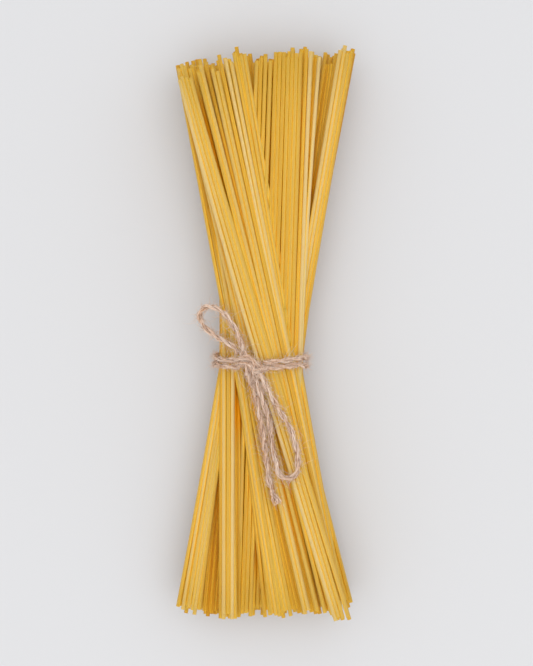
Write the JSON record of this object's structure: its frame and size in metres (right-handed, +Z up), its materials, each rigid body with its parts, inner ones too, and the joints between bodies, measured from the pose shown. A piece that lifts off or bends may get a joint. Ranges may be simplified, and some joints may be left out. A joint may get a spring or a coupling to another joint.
{
  "type": "bundle of dry spaghetti",
  "caption": "Hourglass bundle of long dry spaghetti, laid flat and tied round the waist with jute twine in a bow, for kitchen and pantry scenes.",
  "frame": {"origin": "on the surface that the bundle lies on, under the middle of the bundle with its tie and knot", "axes": "+Y along the strands towards the end farther from the tie, +Z up, +X to the right of someone at the near end"},
  "size_m": [0.083, 0.2641, 0.043],
  "materials": {
    "pasta": "dry durum pasta, slightly translucent, satin",
    "twine": "two-ply jute twine, hairy"
  },
  "bodies": {
    "root": {"spaghetti_bundle": "pasta", "twine_turn_1": "twine", "twine_turn_2": "twine", "twine_knot": "twine", "twine_loop_left": "twine", "twine_loop_right": "twine", "twine_tail": "twine"}
  },
  "joints": []
}
